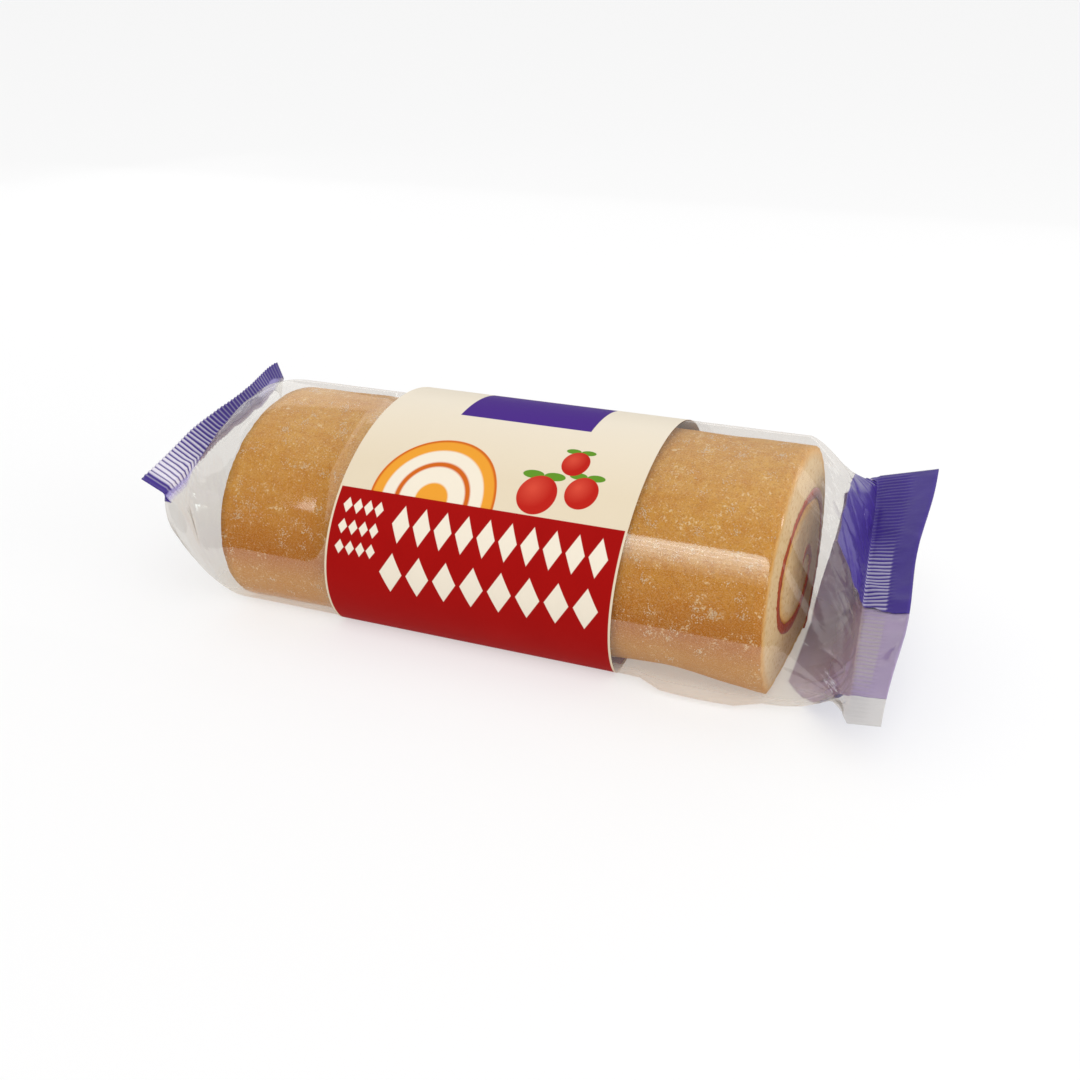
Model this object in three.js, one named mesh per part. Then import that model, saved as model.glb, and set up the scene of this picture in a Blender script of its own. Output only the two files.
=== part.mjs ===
// A jam swiss roll sold whole in a clear flow-wrapped pack, lying on its side.
// The sealed pack is one closed solid: a round tube of film round the roll, drawn in at both
// ends to a flat crimped seal. Units are millimetres, +X runs along the roll, +Z is up, and
// the origin is the middle of the pack's footprint on the table.
import * as THREE from 'three';
import { ParametricGeometry } from 'three/addons/geometries/ParametricGeometry.js';
import { mergeVertices } from 'three/addons/utils/BufferGeometryUtils.js';

// Driving dimensions.
const ROLL_LENGTH = 181; // between the roll's two cut ends
const TUBE_RADIUS = 43; // of the loose tube of film round the 80 mm roll, at its printed band
const TUBE_RADIUS_LEFT = 41.6; // where the film clings closer, left of the band
const BAND_LEFT = -48; // the left edge of the printed band, from the middle of the roll
const BAND_SKEW = 7; // how far that edge leans right from mid-height to the top
const BAND_STEP = 3; // the length in which the film steps up to the stiffer band
const RESTING_SAG = 11.5; // how far the soft roll and its film have sunk flat underneath
const FOLD_TILT = THREE.MathUtils.degToRad(14); // turns the two side folds round the tube
const SEAL_THICKNESS = 1.2; // of the two crimped layers, with their ridges
const RIDGES = 32; // crimp ridges across each seal
const RIDGE_HEIGHT = 0.35;
const TAPER_STEPS = 8;
const SEAL_STEPS = 2;

// Each end of the pack is a taper and a seal. The taper's fullness is 1 where the film runs
// straight from the roll to the seal and 2 where it bulges to a quarter circle, above and below.
// The seal's outer and inner edges have how far they reach beyond the roll at their middle, how
// much further at the back, half their width, their height above the table and how much they
// climb from the middle to the back. The bow lifts the middle.
const LEFT_END = {
  side: -1,
  radius: TUBE_RADIUS_LEFT,
  fullness: { above: 1.5, below: 4 },
  outer: { reach: 30.5, skew: 7.2, halfWidth: 53, height: 56.5, climb: 4.5 },
  inner: { reach: 24, skew: 9.5, halfWidth: 53, height: 51.1, climb: 3 },
  bow: 2,
};
const RIGHT_END = {
  side: 1,
  radius: TUBE_RADIUS,
  fullness: { above: 1.35, below: 2.2 },
  outer: { reach: 36.8, skew: 0.2, halfWidth: 56, height: 34.3, climb: 17 },
  inner: { reach: 22, skew: -5, halfWidth: 56, height: 30.9, climb: 14.8 },
  bow: -1,
};

// Derived sizes.
const COLUMNS = 4 * RIDGES; // steps round the pack: a crest and a trough for each ridge and layer
const mix = THREE.MathUtils.lerp;

// How far across the pack a point is, from the front fold at -1 to the back fold at +1, and
// which layer it belongs to, for a turn that starts at the front fold and goes over the top.
function layerAt(turn) {
  const onTop = turn < 0.5;
  return { across: onTop ? 4 * turn - 1 : 3 - 4 * turn, sign: onTop ? 1 : -1 };
}

// A point of the round tube, which is flat where it rests. A skew leans the section to the right.
function tubePoint(x, radius, turn, skew = 0) {
  const angle = Math.PI + FOLD_TILT - 2 * Math.PI * turn;
  const height = radius * (1 + Math.sin(angle)) - RESTING_SAG;
  const leaning = x + skew * Math.sin(angle);
  return new THREE.Vector3(leaning, radius * Math.cos(angle), Math.max(0, height));
}

// A point on the middle plane of a seal, from its inner edge at 0 to its outer edge at 1.
function sealPoint(end, across, out) {
  const at = (name) => mix(end.inner[name], end.outer[name], out);
  const reach = at('reach') + at('skew') * across;
  const height = at('height') + at('climb') * across + end.bow * (1 - across * across);
  return new THREE.Vector3(end.side * (ROLL_LENGTH / 2 + reach), at('halfWidth') * across, height);
}

// Half the seal's thickness, thinning to nothing at the side folds, with the crimp's ridges.
function sealLift(turn, across, sign) {
  const edge = Math.min(1, (1 - Math.abs(across)) * RIDGES / 2);
  const crest = Math.round(turn * COLUMNS) % 2 === 0 ? 1 : -1;
  return edge * (sign * SEAL_THICKNESS / 2 + crest * RIDGE_HEIGHT / 2);
}

// How far the film is drawn in to the seal at each step of the taper.
function drawnInAt(end, turn, step) {
  const above = 0.5 + 0.5 * Math.sin(2 * Math.PI * turn);
  const fullness = mix(end.fullness.below, end.fullness.above, above);
  return 1 - Math.pow(1 - Math.pow(step, fullness), 1 / fullness);
}

function taperPoint(end, turn, step) {
  const { across, sign } = layerAt(turn);
  const tube = tubePoint(end.side * ROLL_LENGTH / 2, end.radius, turn);
  const seal = sealPoint(end, across, 0);
  seal.z += sealLift(turn, across, sign);
  const drawnIn = drawnInAt(end, turn, step);
  const point = tube.clone().lerp(seal, drawnIn);
  point.x = mix(tube.x, seal.x, step);
  return point;
}

// The sections of one end, from the cut end of the roll outwards. Each is a function of the
// turn. The last one is as thin as a line, which closes the seal.
function sectionsOf(end) {
  const sections = [];
  for (let i = 0; i < TAPER_STEPS; i++) {
    const step = Math.sin(Math.PI / 2 * i / TAPER_STEPS);
    sections.push((turn) => taperPoint(end, turn, step));
  }
  for (let i = 0; i <= SEAL_STEPS + 1; i++) {
    const thickness = i > SEAL_STEPS ? 0 : 1;
    const out = Math.min(1, i / SEAL_STEPS);
    sections.push((turn) => {
      const { across, sign } = layerAt(turn);
      const point = sealPoint(end, across, out);
      point.z += thickness * sealLift(turn, across, sign);
      return point;
    });
  }
  return sections;
}

function closedPack() {
  const sections = [
    ...sectionsOf(LEFT_END).reverse(),
    (turn) => tubePoint(BAND_LEFT - BAND_STEP, TUBE_RADIUS_LEFT, turn, BAND_SKEW),
    (turn) => tubePoint(BAND_LEFT, TUBE_RADIUS, turn, BAND_SKEW),
    ...sectionsOf(RIGHT_END),
  ];
  const last = sections.length - 1;
  // The turn runs backwards here, so that the faces point outwards.
  const surface = (turned, along, target) => {
    target.copy(sections[Math.round(along * last)]((1 - turned) % 1));
  };
  const grid = new ParametricGeometry(surface, COLUMNS, last);
  grid.deleteAttribute('normal');
  grid.deleteAttribute('uv');
  const solid = mergeVertices(grid, 1e-4);
  solid.computeBoundingBox();
  const { min, max } = solid.boundingBox;
  solid.translate(-(min.x + max.x) / 2, -(min.y + max.y) / 2, -min.z);
  solid.computeVertexNormals();
  return solid;
}

const filmPack = new THREE.Mesh(
  closedPack(),
  new THREE.MeshStandardMaterial({ color: 0xc48a45, roughness: 0.35, metalness: 0 }),
);
filmPack.name = 'film_pack';

const swissRollPack = new THREE.Group();
swissRollPack.add(filmPack);

export default swissRollPack;
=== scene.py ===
# %% [markdown]
# # A swiss roll in its sealed film pack
#
# The object is a jam swiss roll about 18 cm long. It lies in a tube of clear film that is crimped
# flat at both ends. A printed band goes round the middle and both seals are printed purple.
#
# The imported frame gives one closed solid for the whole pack. Here that solid is replaced by what it
# stands for: the film, the prints on it, the sponge, the jam and the sugar. Each piece has a short
# cell of its own. All sizes are in millimetres and are turned into metres at one place. Only the
# camera, the floor and the lights are placed in metres.

# %% Load the frame
import math
import random

import bmesh
import bpy
import numpy as np
from mathutils import Matrix, Vector, noise


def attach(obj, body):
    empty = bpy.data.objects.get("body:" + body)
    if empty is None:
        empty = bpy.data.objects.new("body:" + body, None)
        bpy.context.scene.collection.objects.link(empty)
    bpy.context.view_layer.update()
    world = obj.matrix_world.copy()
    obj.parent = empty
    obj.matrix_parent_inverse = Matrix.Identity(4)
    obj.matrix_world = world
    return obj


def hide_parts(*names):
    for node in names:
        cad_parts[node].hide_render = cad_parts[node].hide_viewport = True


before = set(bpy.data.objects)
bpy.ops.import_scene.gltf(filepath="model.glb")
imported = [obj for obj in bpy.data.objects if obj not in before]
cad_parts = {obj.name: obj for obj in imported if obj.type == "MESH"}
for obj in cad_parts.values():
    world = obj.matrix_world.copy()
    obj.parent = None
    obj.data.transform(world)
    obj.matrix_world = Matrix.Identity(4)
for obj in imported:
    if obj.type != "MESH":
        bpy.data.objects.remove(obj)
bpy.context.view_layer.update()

# %% [markdown]
# ## The pack's sizes
#
# The film follows the same rules as the solid: a round tube that has sunk flat where it rests, and at
# each end a taper that draws the tube in to a flat seal. Repeating the solid's driving dimensions
# keeps the film on the solid, give or take a few millimetres for its wrinkles and swellings and for
# the wavy edges of its seals.
#
# A taper's fullness is 1 where the film runs straight from the roll to the seal, and 2 where it bulges
# to a quarter circle. The inner and outer edges of a seal have how far they reach beyond the roll at
# their middle, how much further at the back (the skew), half their width, their height above the
# table, how much they climb from the middle to the back, and how far their back corner flicks out.
# The bow lifts the middle. The soft waves of a seal are calmed by a share towards its outer edge. The
# swelling is the film that trapped air pushes out: its height, the place of its middle and its spread
# round the tube in turns, and how it crowds towards the seal.

# %% Driving dimensions
MM = 0.001
ROLL_LENGTH = 181.0  # between the roll's two cut ends
TUBE_RADIUS = 43.0  # of the film tube at its printed band and right of it
TUBE_RADIUS_LEFT = 41.6  # where the film clings closer, left of the band
RESTING_SAG = 11.5  # how far the pack has sunk flat underneath
FOLD_TILT = math.radians(14)  # turns the two side folds round the tube
CORNER_SOFTNESS = 1.2  # rounds the film where it leaves the table
TABLE_GAP = 0.02  # keeps the film clear of the table
FILM_GAP = 0.15  # from the middle of a seal to either of its layers
COLUMNS = 560  # steps round the film: 4 or more for each ridge and layer

LEFT_END = {
    "side": -1,
    "radius": TUBE_RADIUS_LEFT,
    "fullness": {"above": 1.5, "below": 4.0},
    "inner": {"reach": 24.0, "skew": 9.5, "half_width": 53.0, "height": 51.1, "climb": 3.0, "flick": 3.5},
    "outer": {"reach": 30.5, "skew": 7.2, "half_width": 53.0, "height": 56.5, "climb": 4.5, "flick": 2.0},
    "bow": 2.0,
    "ridges": 46,
    "waves": {"seed": 7.0, "calmed": 0.8},
    "creases": {"seed": 12, "count": 26, "height": 0.6},
    "swelling": {"height": 6.0, "turn": 0.94, "spread": 0.09, "crowding": 1.6},
}
RIGHT_END = {
    "side": 1,
    "radius": TUBE_RADIUS,
    "fullness": {"above": 1.35, "below": 2.2},
    "inner": {"reach": 22.0, "skew": -5.0, "half_width": 56.0, "height": 30.9, "climb": 14.8, "flick": 0.0},
    "outer": {"reach": 36.8, "skew": 0.2, "half_width": 56.0, "height": 34.3, "climb": 17.0, "flick": 0.0},
    "bow": -1.0,
    "ridges": 70,
    "waves": {"seed": 23.0, "calmed": 0.35},
    "creases": {"seed": 31, "count": 70, "height": 1.4},
    "swelling": {"height": 2.4, "turn": 0.43, "spread": 0.08, "crowding": 3},
}


def furthest(end):
    return end["outer"]["reach"] + end["outer"]["skew"]


# The frame's origin is in the middle of the whole pack, which isn't quite the middle of the roll.
CENTRE_SHIFT = (furthest(LEFT_END) - furthest(RIGHT_END)) / 2
print("the middle of the roll lies", round(CENTRE_SHIFT, 2), "mm right of the origin")

# %% [markdown]
# ## Small helpers
#
# Most shapes here are a flat grid whose vertices are moved by a formula. The grid operator makes all
# the faces, with a UV map that remembers where each point was on the flat sheet, and merging the
# vertices that meet closes the seams. That is quicker to read and to change than pushing single
# vertices about.


# %% Numbers
def mix(low, high, share):
    return low + (high - low) * share


def smooth(low, high, value):
    """A soft step from 0 at the low value to 1 at the high one, which may be the smaller of the two."""
    share = min(1.0, max(0.0, (value - low) / (high - low)))
    return share * share * (3 - 2 * share)


def ramp(value, limit, softness):
    """0 below the limit and 1 above it, with a straight slope between them."""
    return min(1.0, max(0.0, (value - limit) / softness + 0.5))


def uneven(x, y, z=0.0):
    """A smooth random field between about -1 and 1, the same in every run."""
    return noise.noise(Vector((x, y, z)))


# %% Meshes
WELD = 0.0005  # vertices of the film that are closer than this are one
ROLL_WELD = 0.002  # and those of the sponge and the jam


def finish_piece(name, bm, materials, shade_smooth=True):
    """Makes the piece from its mesh in millimetres, and lets it ride on the pack's one body."""
    bm.transform(Matrix.Scale(MM, 4))
    mesh = bpy.data.meshes.new(name)
    bm.to_mesh(mesh)
    bm.free()
    for material in materials:
        mesh.materials.append(material)
    for polygon in mesh.polygons:
        polygon.use_smooth = shade_smooth
    piece = bpy.data.objects.new(name, mesh)
    bpy.context.scene.collection.objects.link(piece)
    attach(piece, "root")
    print(name, "has", len(mesh.polygons), "faces")
    return piece


def sheet(columns, rows, place, closed=True):
    """A grid moved by place(column, row). Its UV map holds the column and row as shares."""
    bm = bmesh.new()
    bmesh.ops.create_grid(bm, x_segments=columns, y_segments=rows, size=0.5)
    uv = bm.loops.layers.uv.new("film")
    for face in bm.faces:
        for loop in face.loops:
            loop[uv].uv = (loop.vert.co.x + 0.5, loop.vert.co.y + 0.5)
    for vert in bm.verts:
        column = round((vert.co.x + 0.5) * columns)
        row = round((vert.co.y + 0.5) * rows)
        vert.co = place(column, row)
    if closed:
        bmesh.ops.remove_doubles(bm, verts=bm.verts, dist=WELD)
    return bm


# %% [markdown]
# ## Finishes as sums
#
# A finish is a small tree of shader nodes. Written as nodes, its sums are hard to read, so a socket is
# wrapped in a class whose operators add the Math nodes. Everything else goes through one method that
# takes the node's type, the values of its sockets and its settings.


# %% Wires
class Wire:
    """A socket of a finish that can be used in a Python sum."""

    def __init__(self, finish, socket):
        self.finish = finish
        self.socket = socket

    def math(self, operation, first, second=0.0, clamp=False):
        settings = {"operation": operation, "use_clamp": clamp}
        return self.finish.add("ShaderNodeMath", {0: first, 1: second}, settings)

    def __add__(self, other):
        return self.math("ADD", self, other)

    def __sub__(self, other):
        return self.math("SUBTRACT", self, other)

    def __rsub__(self, other):
        return self.math("SUBTRACT", other, self)

    def __mul__(self, other):
        return self.math("MULTIPLY", self, other)

    def __truediv__(self, other):
        return self.math("DIVIDE", self, other)

    def __pow__(self, other):
        return self.math("POWER", self, other)

    def __abs__(self):
        return self.math("ABSOLUTE", self)

    __radd__ = __add__
    __rmul__ = __mul__

    def root(self):
        return self.math("SQRT", self)

    def part(self):
        """What is left after whole numbers are taken away."""
        return self.math("FRACT", self)

    def least(self, other):
        return self.math("MINIMUM", self, other)

    def most(self, other):
        return self.math("MAXIMUM", self, other)

    def above(self, limit, softness):
        """The same as ramp: 0 below the limit and 1 above it, with a straight slope between them."""
        return self.math("ADD", (self - limit) / softness, 0.5, clamp=True)

    def below(self, limit, softness):
        return self.math("SUBTRACT", 0.5, (self - limit) / softness, clamp=True)

    def within(self, low, high, softness):
        return self.above(low, softness) * self.below(high, softness)


# %% Finishes
class Finish:
    """A material that is built one node at a time."""

    def __init__(self, name):
        self.material = bpy.data.materials.new(name)
        self.material.use_nodes = True
        self.tree = self.material.node_tree
        self.tree.nodes.clear()

    def add(self, kind, sockets=None, settings=None, output=0):
        """Adds a node, sets it, fills or links its sockets and gives back one of its outputs."""
        node = self.tree.nodes.new(kind)
        for name, value in (settings or {}).items():
            setattr(node, name, value)
        for name, value in (sockets or {}).items():
            if isinstance(value, Wire):
                self.tree.links.new(value.socket, node.inputs[name])
            else:
                node.inputs[name].default_value = value
        return Wire(self, node.outputs[output]) if len(node.outputs) else None

    def place(self):
        """The point's place on the object, in millimetres."""
        coordinates = self.add("ShaderNodeTexCoord", output=3)
        return self.add("ShaderNodeVectorMath", {0: coordinates, "Scale": 1 / MM}, {"operation": "SCALE"})

    def attribute(self, name):
        """A number that the mesh keeps for each of its vertices."""
        return self.add("ShaderNodeAttribute", settings={"attribute_name": name}, output=2)

    def film_map(self):
        """The two numbers of the sheet's own UV map."""
        across, up, _ = self.split(self.add("ShaderNodeUVMap", settings={"uv_map": "film"}))
        return across, up

    def split(self, vector):
        first = self.add("ShaderNodeSeparateXYZ", {0: vector})
        return [Wire(self, output) for output in first.socket.node.outputs]

    def blend(self, share, under, over):
        """Two colours mixed by a share. Sockets 6 and 7 and output 2 are the node's ones for colours."""
        return self.add("ShaderNodeMix", {0: share, 6: under, 7: over}, {"data_type": "RGBA"}, 2)

    def mixed(self, share, under, over):
        """Two shaders mixed by a share."""
        return self.add("ShaderNodeMixShader", {0: share, 1: under, 2: over})

    def cloud(self, place, grain, detail=3.0, rough=0.5):
        """A cloudy random field from 0 to 1, whose blobs are about one grain in size."""
        sockets = {"Vector": place, "Scale": 1 / grain, "Detail": detail, "Roughness": rough}
        return self.add("ShaderNodeTexNoise", sockets)

    def bump(self, height, depth):
        """Relief of a depth in millimetres, from a height between 0 and 1."""
        return self.add("ShaderNodeBump", {"Height": height, "Distance": depth * MM})

    def surface(self, sockets):
        return self.add("ShaderNodeBsdfPrincipled", sockets)

    def done(self, shader):
        self.add("ShaderNodeOutputMaterial", {"Surface": shader})
        return self.material


def colour(red, green, blue):
    """A colour as a paint chart gives it, from 0 to 255, for a shader socket."""
    shares = [channel / 255 for channel in (red, green, blue)]
    linear = [c / 12.92 if c < 0.04045 else ((c + 0.055) / 1.055) ** 2.4 for c in shares]
    return (*linear, 1.0)


def toned(tint, factor):
    """The same colour, darker or lighter."""
    return (*(min(1, factor * channel) for channel in tint[:3]), 1)


# %% [markdown]
# ## Camera
#
# The camera stands in front of the pack and right of it, and looks down on it by about 25 degrees. A
# 40 mm lens at this short distance gives the strong perspective of a product picture. Giving the
# camera a place and a direction is enough: it stays level by itself.

# %% Camera
CAMERA_PLACE = Vector((0.14435, -0.3431, 0.1976))
CAMERA_DIRECTION = Vector((-0.3401, 0.843, -0.4168))

camera_data = bpy.data.cameras.new("camera")
camera_data.lens = 40.0
camera_data.sensor_width = 36.0
camera_data.clip_start = 0.01
camera = bpy.data.objects.new("camera", camera_data)
camera.location = CAMERA_PLACE
camera.rotation_euler = CAMERA_DIRECTION.to_track_quat("-Z", "Y").to_euler()
bpy.context.scene.collection.objects.link(camera)
bpy.context.scene.camera = camera
bpy.context.scene.view_settings.view_transform = "Standard"
looks_down = math.degrees(math.asin(-CAMERA_DIRECTION.normalized().z))
print("the camera looks down by", round(looks_down, 1), "degrees")

# %% [markdown]
# ## Floor and light
#
# The pack lies on a pale floor in soft light. Clear film is hardly seen by itself: what shows it is
# what it mirrors. So the lights have two jobs that are kept apart. A large soft light, a weaker one
# from the right and the pale surroundings light the cake and the print, and don't show in the film.
# Cards of light are there only to be mirrored: wide ones behind, above and at both sides, a strip in
# front whose glow grows upwards, and two small ones that leave one glint each. A black card lies in
# front of the pack, so that the film that faces it stays clear.

# %% Floor
FLOOR_SIZE = 60.0
FLOOR_DROP = 0.0002  # below the film that rests on the table
DARK_CARD = {"width": 8.0, "depth": 30.0, "edge": -0.074}  # the edge is the one nearest the pack


def stage_plane(name, width, depth, place, material):
    bm = bmesh.new()
    bmesh.ops.create_grid(bm, x_segments=1, y_segments=1, size=0.5)
    bmesh.ops.scale(bm, verts=bm.verts, vec=(width, depth, 1.0))
    bmesh.ops.translate(bm, verts=bm.verts, vec=place)
    mesh = bpy.data.meshes.new(name)
    bm.to_mesh(mesh)
    bm.free()
    mesh.materials.append(material)
    plane = bpy.data.objects.new(name, mesh)
    bpy.context.scene.collection.objects.link(plane)
    return plane


def pale_floor():
    """The top of a light table, which glows a little and so keeps the shadows under the pack pale."""
    finish = Finish("floor_paint")
    material = finish.done(finish.surface({
        "Base Color": (0.44, 0.44, 0.44, 1),
        "Roughness": 0.9,
        "Specular IOR Level": 0.2,
        "Emission Color": (1.0, 1.0, 1.0, 1),
        "Emission Strength": 0.5,
    }))
    stage_plane("floor", FLOOR_SIZE, FLOOR_SIZE, (0.0, 0.0, -FLOOR_DROP), material)


def dark_card():
    """A black card on the floor in front, seen only by what mirrors it, which keeps the film clear."""
    finish = Finish("dark_card")
    material = finish.done(finish.surface({"Base Color": (0, 0, 0, 1), "Roughness": 1.0}))
    place = (0.0, DARK_CARD["edge"] - DARK_CARD["depth"] / 2, 0.0001)
    card = stage_plane("dark_card", DARK_CARD["width"], DARK_CARD["depth"], place, material)
    card.visible_camera = False
    card.visible_diffuse = False
    card.visible_shadow = False
    card.visible_transmission = False


pale_floor()
dark_card()


# %% Lamps
def lamp(name, kind, place, direction):
    """A lamp of one of the built-in kinds, which shines in a direction."""
    data = bpy.data.lights.new(name, kind)
    lamp_object = bpy.data.objects.new(name, data)
    lamp_object.location = place
    lamp_object.rotation_euler = Vector(direction).to_track_quat("-Z", "Y").to_euler()
    bpy.context.scene.collection.objects.link(lamp_object)
    return lamp_object


def key_light():
    """The large soft light, from above and in front."""
    key = lamp("key_light", "SUN", (0, 0, 0), (-0.22, 0.55, -0.78))
    key.data.energy = 1.35
    key.data.angle = math.radians(50)
    key.visible_glossy = False


def side_fill():
    """A weak soft light from the right, for the cut face, that no film mirrors."""
    fill = lamp("side_fill", "AREA", (1.1, -0.25, 0.3), (-1.0, 0.2, -0.22))
    fill.data.shape = "RECTANGLE"
    fill.data.size, fill.data.size_y = 0.8, 0.8
    fill.data.energy = 5.0
    fill.visible_glossy = False


def light_card(name, place, aim, size, glow, tint=(1, 1, 1)):
    """A rectangle that glows only in what mirrors it. The glow is how bright its face looks."""
    card = lamp(name, "AREA", place, Vector(aim) - Vector(place))
    card.data.color = tint
    card.data.shape = "RECTANGLE"
    card.data.size, card.data.size_y = size
    card.data.energy = glow * math.pi * size[0] * size[1]
    card.visible_camera = False
    card.visible_diffuse = False


# %% Lights
PACK_MIDDLE = (0.0, 0.0, 0.05)
TOP = {"front": -0.42, "height": 1.0, "width": 2.4, "step": 0.3}
TOP_GLOWS = (0.15, 0.35, 0.55, 0.7, 0.8)  # from the front to the back
STRIP = {"x": -0.156, "y": -0.55, "bottom": 0.165, "width": 0.458, "step": 0.044, "aim": 0.035}
STRIP_GLOWS = (0.4, 1.0, 1.8, 2.7, 3.3, 3.5)  # from the bottom to the top
STRIP_TINT = (0.87, 1, 0.99)

key_light()
side_fill()
light_card("back_card", (0.0, 0.75, 0.36), PACK_MIDDLE, (2.0, 0.72), 0.85)
light_card("right_card", (0.9, 0.25, 0.35), PACK_MIDDLE, (1.0, 0.7), 0.8)
light_card("left_card", (-0.9, 0.25, 0.45), PACK_MIDDLE, (1.6, 0.9), 0.8)
for step, glow in enumerate(TOP_GLOWS):
    back = TOP["front"] + TOP["step"] * step
    size = (TOP["width"], TOP["step"])
    light_card(f"top_{step}", (0.0, back, TOP["height"]), (0.0, back, 0.0), size, glow)
for step, glow in enumerate(STRIP_GLOWS):
    place = (STRIP["x"], STRIP["y"], STRIP["bottom"] + STRIP["step"] * step)
    size = (STRIP["width"], STRIP["step"])
    light_card(f"strip_{step}", place, (STRIP["x"], 0, STRIP["aim"]), size, glow, STRIP_TINT)
light_card("glint_card", (0.5, -0.3, 0.8), (0.13, 0.0, 0.04), (0.12, 0.12), 3.0)
light_card("patch_card", (-0.342, -0.508, 0.21), (-0.0535, -0.0383, 0.0464), (0.03, 0.12), 2.2)

world = bpy.data.worlds.new("surroundings")
world.use_nodes = True
world.node_tree.nodes["Background"].inputs["Color"].default_value = (1.0, 1.0, 1.0, 1.0)
world.node_tree.nodes["Background"].inputs["Strength"].default_value = 0.7
world.cycles_visibility.glossy = False
bpy.context.scene.world = world
print("the pack is lit by", len(bpy.data.lights), "lamps and cards")

# %% [markdown]
# ## The shape of the film
#
# One formula gives every point of the film from two numbers. The turn goes once round the pack, from
# the front fold over the top to the back fold at one half, and back underneath. The second number is
# a place along the pack: in the tube it is a length, and at an end it runs from 0 at the roll through
# 1 at the seal's inner edge to 2 at its outer edge.

# %% The tube
# The film is a little slack along its lower front, between the band and the right taper.
SLACK = {"depth": 6.0, "starts": (50.0, 62.0), "stops": (94.0, 80.0), "turn": 0.91, "spread": 0.04}


def layer_at(turn):
    """How far across the seal a turn lies, from -1 in front to 1 behind, and on which layer."""
    if turn < 0.5:
        return 4 * turn - 1, 1
    return 3 - 4 * turn, -1


def climb_angle(turn):
    """The direction out from the tube's middle: 0 to the back, a half turn to the front."""
    return math.pi + FOLD_TILT - 2 * math.pi * turn


def no_lower(value, floor, softness):
    """The value, or the floor where it would be lower, with a soft corner between the two."""
    over = (value - floor) / softness
    return max(value, floor) + softness * math.log1p(math.exp(-abs(over)))


def tube_point(x, radius, turn):
    """A point of the tube, at a place along it and a turn round it."""
    angle = climb_angle(turn)
    height = no_lower(radius * (1 + math.sin(angle)) - RESTING_SAG, 0.0, CORNER_SOFTNESS)
    around = math.exp(-((turn - SLACK["turn"]) / SLACK["spread"]) ** 2)
    slack = SLACK["depth"] * smooth(*SLACK["starts"], x) * smooth(*SLACK["stops"], x) * around
    return Vector((x, radius * math.cos(angle) - slack, height))


# %% The seals
EDGE_WAVE = 0.65  # how far across one half wave of a seal's cut edge reaches
FLICK_FROM = 0.45  # how far across the back corner starts to flick out
FRONT_KINK = -0.57  # how far across the edge of the left crimped strip turns, in front
# How far along that edge is at its front corner, its kink and its middle, and its slant on both sides.
LEFT_STRIP = {"corner": 0.95, "kink": 0.75, "middle": 1.14, "front_slant": 0.68, "back_slant": 0.38}
RIDGE_HEIGHT = 0.5
RIDGE_FADE = 0.06  # how far along the ridges fade, either way from where the crimped strip starts
MARGIN_FROM = 1.55  # where the right seal's smooth margin starts
FOLD_WIDTH = 0.05  # how far across the two layers of a seal draw together at its side folds


def seal_point(end, across, out):
    """A point on the middle surface of a seal, from its inner edge at 0 to its outer edge at 1."""
    def at(name):
        return mix(end["inner"][name], end["outer"][name], out)

    edge_wave = out * math.sin(math.pi * across / EDGE_WAVE) * (1 - across * across)
    reach = at("reach") + at("skew") * across - edge_wave + at("flick") * smooth(FLICK_FROM, 1.0, across)
    height = at("height") + at("climb") * across + end["bow"] * (1 - across * across)
    return Vector((end["side"] * (ROLL_LENGTH / 2 + reach), at("half_width") * across, height))


def crimp_edge(end, across):
    """Where the crimped strip starts, which on the left seal isn't quite square to the pack."""
    if end["side"] > 0:
        return 1.0
    if across < FRONT_KINK:
        return mix(LEFT_STRIP["kink"], LEFT_STRIP["corner"], (FRONT_KINK - across) / (1 + FRONT_KINK))
    slant = LEFT_STRIP["front_slant"]
    if across > 0:  # behind the middle the slant ends before the back corner
        slant = LEFT_STRIP["back_slant"] * smooth(0.98, 0.75, across)
    return LEFT_STRIP["middle"] + slant * across


def crimp(end, across, along):
    """The ridges of the crimping jaws. They fade at both borders of the crimped strip."""
    starts = crimp_edge(end, across)
    strength = smooth(starts - RIDGE_FADE, starts + RIDGE_FADE, along)
    if end["side"] > 0:
        strength *= 1 - smooth(MARGIN_FROM - 0.04, MARGIN_FROM + 0.08, along)
    wave = math.cos(math.pi * end["ridges"] * (across + 1))
    return 0.5 * RIDGE_HEIGHT * strength * wave


def seal_waves(end, across, along):
    """The soft waves of the seal, in which both of its layers move together."""
    waves = end["waves"]
    strength = smooth(0.5, 1.0, along) * (1 - waves["calmed"] * smooth(1.0, 1.7, along))
    coarse = 1 - 2 * abs(uneven(across * 3.1, along * 0.9, waves["seed"]))
    fine = 1 - 2 * abs(uneven(across * 7.7, along * 1.6, waves["seed"] + 5))
    edge = 1 - abs(across) ** 6
    return strength * edge * (0.8 * coarse + 0.4 * fine - 0.6)


def seal_lift(end, across, sign, along):
    """How far a layer of the seal is lifted off its middle surface."""
    fold = min(1.0, (1 - abs(across)) / FOLD_WIDTH)
    return fold * (sign * FILM_GAP + crimp(end, across, along)) + seal_waves(end, across, along)


# %% One column of an end
TAPER_ROWS = 34
SEAL_ROWS = 14
SWINGS = np.linspace(0, np.pi / 2, 81)


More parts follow.
